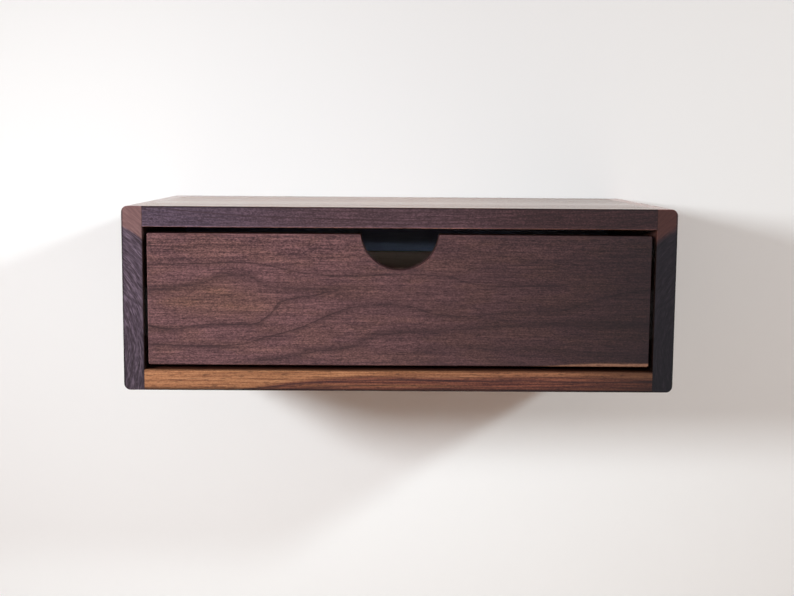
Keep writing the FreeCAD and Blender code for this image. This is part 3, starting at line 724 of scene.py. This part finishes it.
def screw_form():
    """Wood screw with a domed head, a cross recess and a thread. Its point is along z, its head ends at zero."""
    form = Form("wood_screw", ["Head Width", "Head Height", "Shank Width", "Length", "Thread Pitch", "Drive Width"])
    sections = [(form.share("Head Height", up), form.share("Head Width", out / 2)) for up, out in HEAD_SHAPE]
    head = form.turned(sections, ROUND_SIDES)
    bars = []
    deep = form.share("Head Height", 1.3)
    for sizes in (("Drive Width", 1.0, 0.26), ("Drive Width", 0.26, 1.0)):
        bar = form.box(form.share(sizes[0], sizes[1]), form.share(sizes[0], sizes[2]), deep)
        bars.append(form.moved(bar, z=form.share("Head Height", -1.0)))
    head = form.cut(head, bars)
    core = form.share("Shank Width", CORE_SHARE / 2)
    taper = form.share("Shank Width", 1.2)
    straight = form.math("SUBTRACT", form.sizes["Length"], taper)
    stem = form.turned([
        (0.0, form.share("Shank Width", 0.5)),
        (form.share("Shank Width", 0.5), core),
        (straight, core),
        (form.sizes["Length"], form.share("Shank Width", 0.06)),
    ], STEM_SIDES)
    start = form.share("Shank Width", 0.7)
    wound = form.math("SUBTRACT", straight, start)
    values = {
        "Resolution": STEM_SIDES,
        "Rotations": form.math("DIVIDE", wound, form.sizes["Thread Pitch"]),
        "Start Radius": core,
        "End Radius": core,
        "Height": wound,
    }
    helix = form.node("GeometryNodeCurveSpiral", values).outputs[0]
    helix = form.node("GeometryNodeSetCurveNormal", {"Curve": helix}, mode="Z_UP").outputs[0]
    ridge = form.math("SUBTRACT", form.share("Shank Width", 0.5), core)
    values = {"Resolution": 4, "Radius": ridge}
    profile = form.node("GeometryNodeCurvePrimitiveCircle", values, mode="RADIUS").outputs[0]
    values = {"Curve": helix, "Profile Curve": profile, "Fill Caps": True}
    thread = form.moved(form.node("GeometryNodeCurveToMesh", values).outputs[0], z=start)
    form.ends_in(form.aimed_copies(form.joined([head, stem, thread]), "Z", spin=math.pi / 2, seed=4))
    return form


def ball_row_form():
    """Rows of balls along y, the middle of each row at a point."""
    form = Form("ball_row", ["Ball Diameter", "Row Length", "Balls"])
    count = form.given["Balls"]
    pitch = form.math("DIVIDE", form.sizes["Row Length"], count)
    first = form.math("MULTIPLY", pitch, form.math("MULTIPLY_ADD", count, -0.5, 0.5))
    values = {"Count": count, "Start Location": form.spot(0.0, first, 0.0), "Offset": form.spot(0.0, pitch, 0.0)}
    line = form.node("GeometryNodeMeshLine", values).outputs[0]
    values = {"Radius": form.share("Ball Diameter", 0.5), "Subdivisions": 3}
    ball = form.node("GeometryNodeMeshIcoSphere", values).outputs["Mesh"]
    row = form.node("GeometryNodeInstanceOnPoints", {"Points": line, "Instance": ball}).outputs[0]
    form.ends_in(form.aimed_copies(row, "Y"), 90.0)
    return form


POCKET_SIDES = 24


def cage_form():
    """The strip that keeps a row of balls apart: a comb with a round pocket for each, open away from its aim."""
    sizes = ["Ball Diameter", "Row Length", "Balls", "Thickness", "Inner Reach", "Outer Reach", "Pocket Gap"]
    form = Form("ball_cage", sizes)
    wide = form.math("ADD", form.sizes["Inner Reach"], form.sizes["Outer Reach"])
    strip = form.box(wide, form.sizes["Row Length"], form.sizes["Thickness"])
    middle = form.math("SUBTRACT", form.share("Outer Reach", 0.5), form.share("Inner Reach", 0.5))
    strip = form.moved(strip, x=middle)
    radius = form.math("ADD", form.share("Ball Diameter", 0.5), form.sizes["Pocket Gap"])
    tall = form.share("Thickness", 3.0)
    values = {"Vertices": POCKET_SIDES, "Radius": radius, "Depth": tall}
    pocket = form.node("GeometryNodeMeshCylinder", values, fill_type="NGON").outputs["Mesh"]
    across = form.math("MULTIPLY", radius, 2.0)
    mouth = form.moved(form.box(across, across, tall), x=form.math("MULTIPLY", radius, -1.0))
    count = form.given["Balls"]
    pitch = form.math("DIVIDE", form.sizes["Row Length"], count)
    first = form.math("MULTIPLY", pitch, form.math("MULTIPLY_ADD", count, -0.5, 0.5))
    values = {"Count": count, "Start Location": form.spot(0.0, first, 0.0), "Offset": form.spot(0.0, pitch, 0.0)}
    line = form.node("GeometryNodeMeshLine", values).outputs[0]
    cutters = []
    for cutter in (pocket, mouth):
        row = form.node("GeometryNodeInstanceOnPoints", {"Points": line, "Instance": cutter}).outputs[0]
        cutters.append(form.node("GeometryNodeRealizeInstances", {"Geometry": row}).outputs[0])
    form.ends_in(form.aimed_copies(form.cut(strip, cutters), "X"))
    return form


def millimetres(node):
    low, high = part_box(node)
    return low / MM, high / MM


def slide_screws(form, node, length, outward, body, finish):
    """Two screws in each slide, pointing out into the case or in to the drawer."""
    low, high = millimetres(node)
    head = slide_screw["Head Width"] / 2
    seat = high.x - length if outward else high.x - slide_screw["Head Height"]
    points, aims = [], []
    for side in (-1, 1):
        for y in (low.y + head, high.y - head):
            points.append(Vector((side * seat, y, (low.z + high.z) / 2)))
            aims.append(Vector((side if outward else -side, 0, 0)))
    sizes = {**slide_screw, "Length": length, "Thread Pitch": thread_pitch}
    form.make(node + "_detailed", points, aims, sizes, finish, body, "screw_steel", [node])


def drawer_front_screws(form, finish):
    """Four screws through the box front into the drawer front."""
    node = "drawer_front_screws"
    low, high = millimetres(node)
    head = front_screw["Head Width"] / 2
    seat = low.y + front_screw_length
    points = [Vector((x, seat, z)) for x in (low.x + head, high.x - head) for z in (low.z + head, high.z - head)]
    aims = [Vector((0, -1, 0))] * len(points)
    sizes = {**front_screw, "Length": front_screw_length, "Thread Pitch": thread_pitch}
    form.make(node + "_detailed", points, aims, sizes, finish, "drawer", "screw_steel", [node])


def bearings(ball_finish, cage_finish):
    """The balls and cages of the four races, with every ball that a real race has."""
    balls = ball_row_form()
    cages = cage_form()
    for hand, way in (("left", 1), ("right", -1)):
        for race in ("outer", "inner"):
            cage = f"{hand}_{race}_cage"
            low, high = millimetres(cage)
            x = low.x + cage_inner_reach if way > 0 else high.x - cage_inner_reach
            thick = cage_thickness(low, high)
            points = [Vector((x, (low.y + high.y) / 2, z)) for z in (low.z + thick / 2, high.z - thick / 2)]
            body = f"{hand}_{race}_bearing"
            sizes = {"Ball Diameter": ball_diameter, "Row Length": high.y - low.y, "Balls": float(balls_in_a_row)}
            row = f"{hand}_{race}_balls"
            balls.make(row + "_full", points, [Vector((0, 1, 0))] * 2, sizes, ball_finish, body, "ball_steel", [row])
            sizes["Thickness"] = thick
            sizes["Inner Reach"] = cage_inner_reach
            sizes["Outer Reach"] = high.x - low.x - cage_inner_reach
            sizes["Pocket Gap"] = cage_pocket_gap
            aims = [Vector((way, 0, 0))] * 2
            cages.make(cage + "_full", points, aims, sizes, cage_finish, body, "cage_steel", [cage])


cage_pocket_gap = 0.15
cage_strip = 0.5


def cage_thickness(low, high):
    return min(cage_strip, high.z - low.z)


# Finishes on the CAD pieces

def wear(names, finish):
    for name in names:
        boards[name].data.materials.clear()
        boards[name].data.materials.append(finish)


def dress_boards():
    wear(["drawer_front"], walnut_front())
    wear(["top_panel"], walnut_top())
    wear(["bottom_panel"], walnut_bottom())
    # The right side board gets a much darker shade and end grain than the left: partly its own darker wood, partly
    # painted shade on the side away from the light.
    wear(["left_side"], walnut_side("walnut_left_side", -1.0, 0.95, 1.6, 0.72, 0.65, 1.4, left_sap))
    wear(["right_side"], walnut_side("walnut_right_side", 1.0, 0.36, 1.2, 0.26, 0.7, 4.5, right_sap))
    wear(["drawer_box_front", "drawer_back"], pale_wood("maple_across", "x", maple_tones, 3))
    wear(["left_drawer_side", "right_drawer_side"], pale_wood("maple_lengthwise", "y", maple_tones, 5))
    wear(["hanging_rail", "wall_cleat"], pale_wood("cleat_wood", "x", cleat_tones, 7))
    low, high = millimetres("back_panel")
    wear(["back_panel"], plywood("painted_ply", "y", low.y, (high.y - low.y) / 5, birch_tones, inner_painted_light))
    low, high = millimetres("drawer_bottom")
    wear(["drawer_bottom", "joint_tongues"], plywood("birch_ply", "z", low.z, (high.z - low.z) / 5, birch_tones))


def dress_hardware():
    zinc = zinc_steel("zinc_steel", [card(150, 153, 158), card(184, 187, 191), card(208, 210, 213)], 0.26, 81)
    dark_zinc = zinc_steel("cage_steel", [card(120, 123, 128), card(152, 155, 160), card(180, 182, 186)], 0.3, 84)
    screw_zinc = zinc_steel("screw_steel", [card(140, 141, 142), card(176, 177, 178), card(204, 205, 206)], 0.24, 87)
    rubber = bumper_rubber()
    for hand in ("left", "right"):
        wear([f"{hand}_{member}_member" for member in ("cabinet", "middle", "drawer")], zinc)
        wear([f"{hand}_slide_bumper"], rubber)
    bearings(ball_steel(), dark_zinc)
    form = screw_form()
    slide_screws(form, "cabinet_slide_screws", cabinet_screw_length, True, "case", screw_zinc)
    slide_screws(form, "drawer_slide_screws", drawer_screw_length, False, "drawer", screw_zinc)
    drawer_front_screws(form, screw_zinc)


# The wall that it hangs on, the floor, the light and the camera

wall_gap = 1.0
floor_z = -900.0
room_half = 3000.0
room_height = 2600.0
room_depth = 4000.0
pale_from = (700.0, 2000.0)
ROOM_LIGHT = 0.27
ROOM_SEEN = 0.85
FILL_TINT = (1.0, 0.667, 0.533, 1.0)
SEEN_TINT = (1.0, 0.98, 0.96, 1.0)


def seen_rays(wiring):
    """1 where a ray goes straight, or by a mirror or a glass, to the camera."""
    rays = wiring.node("ShaderNodeLightPath").outputs
    seen = wiring.math("MAXIMUM", rays["Is Camera Ray"], rays["Is Glossy Ray"])
    return wiring.math("MAXIMUM", seen, rays["Is Transmission Ray"])


def one_sided(name, paint, mottle):
    """Matt paint on the side that faces the room, and clear from behind. Far from the shelf it is seen evenly pale."""
    finish = Finish(name)
    patches = finish.noise(finish.place, (900, 900, 900), 99, 2.0)
    tone = finish.ramp(patches, [(0.3, mottle), (0.7, paint)])
    finish.feed(finish.shader.inputs["Base Color"], tone)
    finish.shader.inputs["Roughness"].default_value = 0.9
    finish.shader.inputs["Specular IOR Level"].default_value = 0.2
    behind = finish.node("ShaderNodeNewGeometry").outputs["Backfacing"]
    clear = finish.node("ShaderNodeBsdfTransparent").outputs[0]
    away = finish.rise(finish.vector("LENGTH", finish.place), *pale_from)
    glow = finish.node("ShaderNodeEmission", {"Color": SEEN_TINT, "Strength": ROOM_SEEN}).outputs[0]
    values = {0: finish.times(away, seen_rays(finish)), 1: finish.shader.outputs[0], 2: glow}
    paled = finish.node("ShaderNodeMixShader", values).outputs[0]
    shown = finish.node("ShaderNodeMixShader", {0: behind, 1: paled, 2: clear})
    finish.feed(finish.tree.nodes["Material Output"].inputs["Surface"], shown.outputs[0])
    return finish.material


def backdrop(name, corners, finish):
    mesh = bpy.data.meshes.new(name)
    mesh.from_pydata([Vector(corner) * MM for corner in corners], [], [range(len(corners))])
    mesh.materials.append(finish)
    plane = bpy.data.objects.new(name, mesh)
    bpy.context.scene.collection.objects.link(plane)
    plane.visible_shadow = False


def room():
    wall_paint = one_sided("wall_paint", card(245, 246, 248), card(243, 244, 246))
    floor_paint = one_sided("floor_paint", card(232, 221, 208), card(229, 218, 204))
    left, right = -room_half, room_half
    wall = [(left, wall_gap, floor_z), (right, wall_gap, floor_z), (right, wall_gap, room_height), (left, wall_gap, room_height)]
    floor = [(left, -room_depth, floor_z), (right, -room_depth, floor_z), (right, room_depth, floor_z), (left, room_depth, floor_z)]
    backdrop("wall", wall, wall_paint)
    backdrop("floor", floor, floor_paint)


shelf_middle = Vector((0.0, -200.0, -10.0))
shelf_left = Vector((-130.0, -200.0, -110.0))


def soft_light(name, place, size, power, colour, spread=180.0, aim=shelf_middle, mirrored=True):
    lamp = bpy.data.lights.new(name, "AREA")
    lamp.shape = "RECTANGLE"
    lamp.size, lamp.size_y = (side * MM for side in size)
    lamp.energy = power
    lamp.color = colour
    lamp.spread = math.radians(spread)
    light = bpy.data.objects.new(name, lamp)
    light.location = Vector(place) * MM
    light.rotation_euler = (aim - Vector(place)).to_track_quat("-Z", "Y").to_euler()
    light.visible_camera = False
    light.visible_glossy = mirrored
    bpy.context.scene.collection.objects.link(light)


def lights():
    soft_light("window_left", (-995, -1180, 280), (300, 220), 4.95, (0.93, 0.985, 1.0), 90.0, shelf_left, False)
    soft_light("lamp_right", (1670, -1250, 830), (180, 180), 6.7, (0.87, 0.985, 1.0), 110.0, mirrored=False)
    soft_light("fill_right", (1500, -1400, 560), (900, 700), 1.8, (1.0, 0.93, 0.89), 150.0)
    soft_light("back_fill", (0, 1700, 60), (1600, 500), 20.0, (1.0, 1.0, 1.0))
    world = bpy.data.worlds.new("room_light")
    world.use_nodes = True
    wiring = Wiring(world.node_tree)
    seen = seen_rays(wiring)
    sky = world.node_tree.nodes["Background"]
    tint = wiring.node("ShaderNodeMix", {0: seen, 6: FILL_TINT, 7: SEEN_TINT}, data_type="RGBA").outputs[2]
    wiring.feed(sky.inputs["Color"], tint)
    wiring.feed(sky.inputs["Strength"], wiring.math("MULTIPLY_ADD", seen, ROOM_SEEN - ROOM_LIGHT, ROOM_LIGHT))
    bpy.context.scene.world = world


def camera():
    """The photograph's camera: level axes first, then its turn, tilt and roll."""
    axes = Matrix(((1, 0, 0), (0, 0, -1), (0, 1, 0)))
    roll = Matrix.Rotation(camera_roll, 3, "Z")
    tilt = Matrix.Rotation(camera_tilt, 3, "X")
    turn = Matrix.Rotation(camera_turn, 3, "Y")
    flip = Matrix.Diagonal((1, -1, -1))
    to_camera = flip @ roll @ tilt @ turn @ axes
    lens = bpy.data.cameras.new("photo_camera")
    lens.sensor_width = sensor_width
    lens.lens = sensor_width * focal_length / image_width
    eye = bpy.data.objects.new("photo_camera", lens)
    eye.matrix_world = Matrix.Translation(camera_place * MM) @ to_camera.transposed().to_4x4()
    bpy.context.scene.collection.objects.link(eye)
    bpy.context.scene.camera = eye


dress_boards()
dress_hardware()
room()
lights()
camera()
bpy.context.scene.view_settings.view_transform = "Standard"
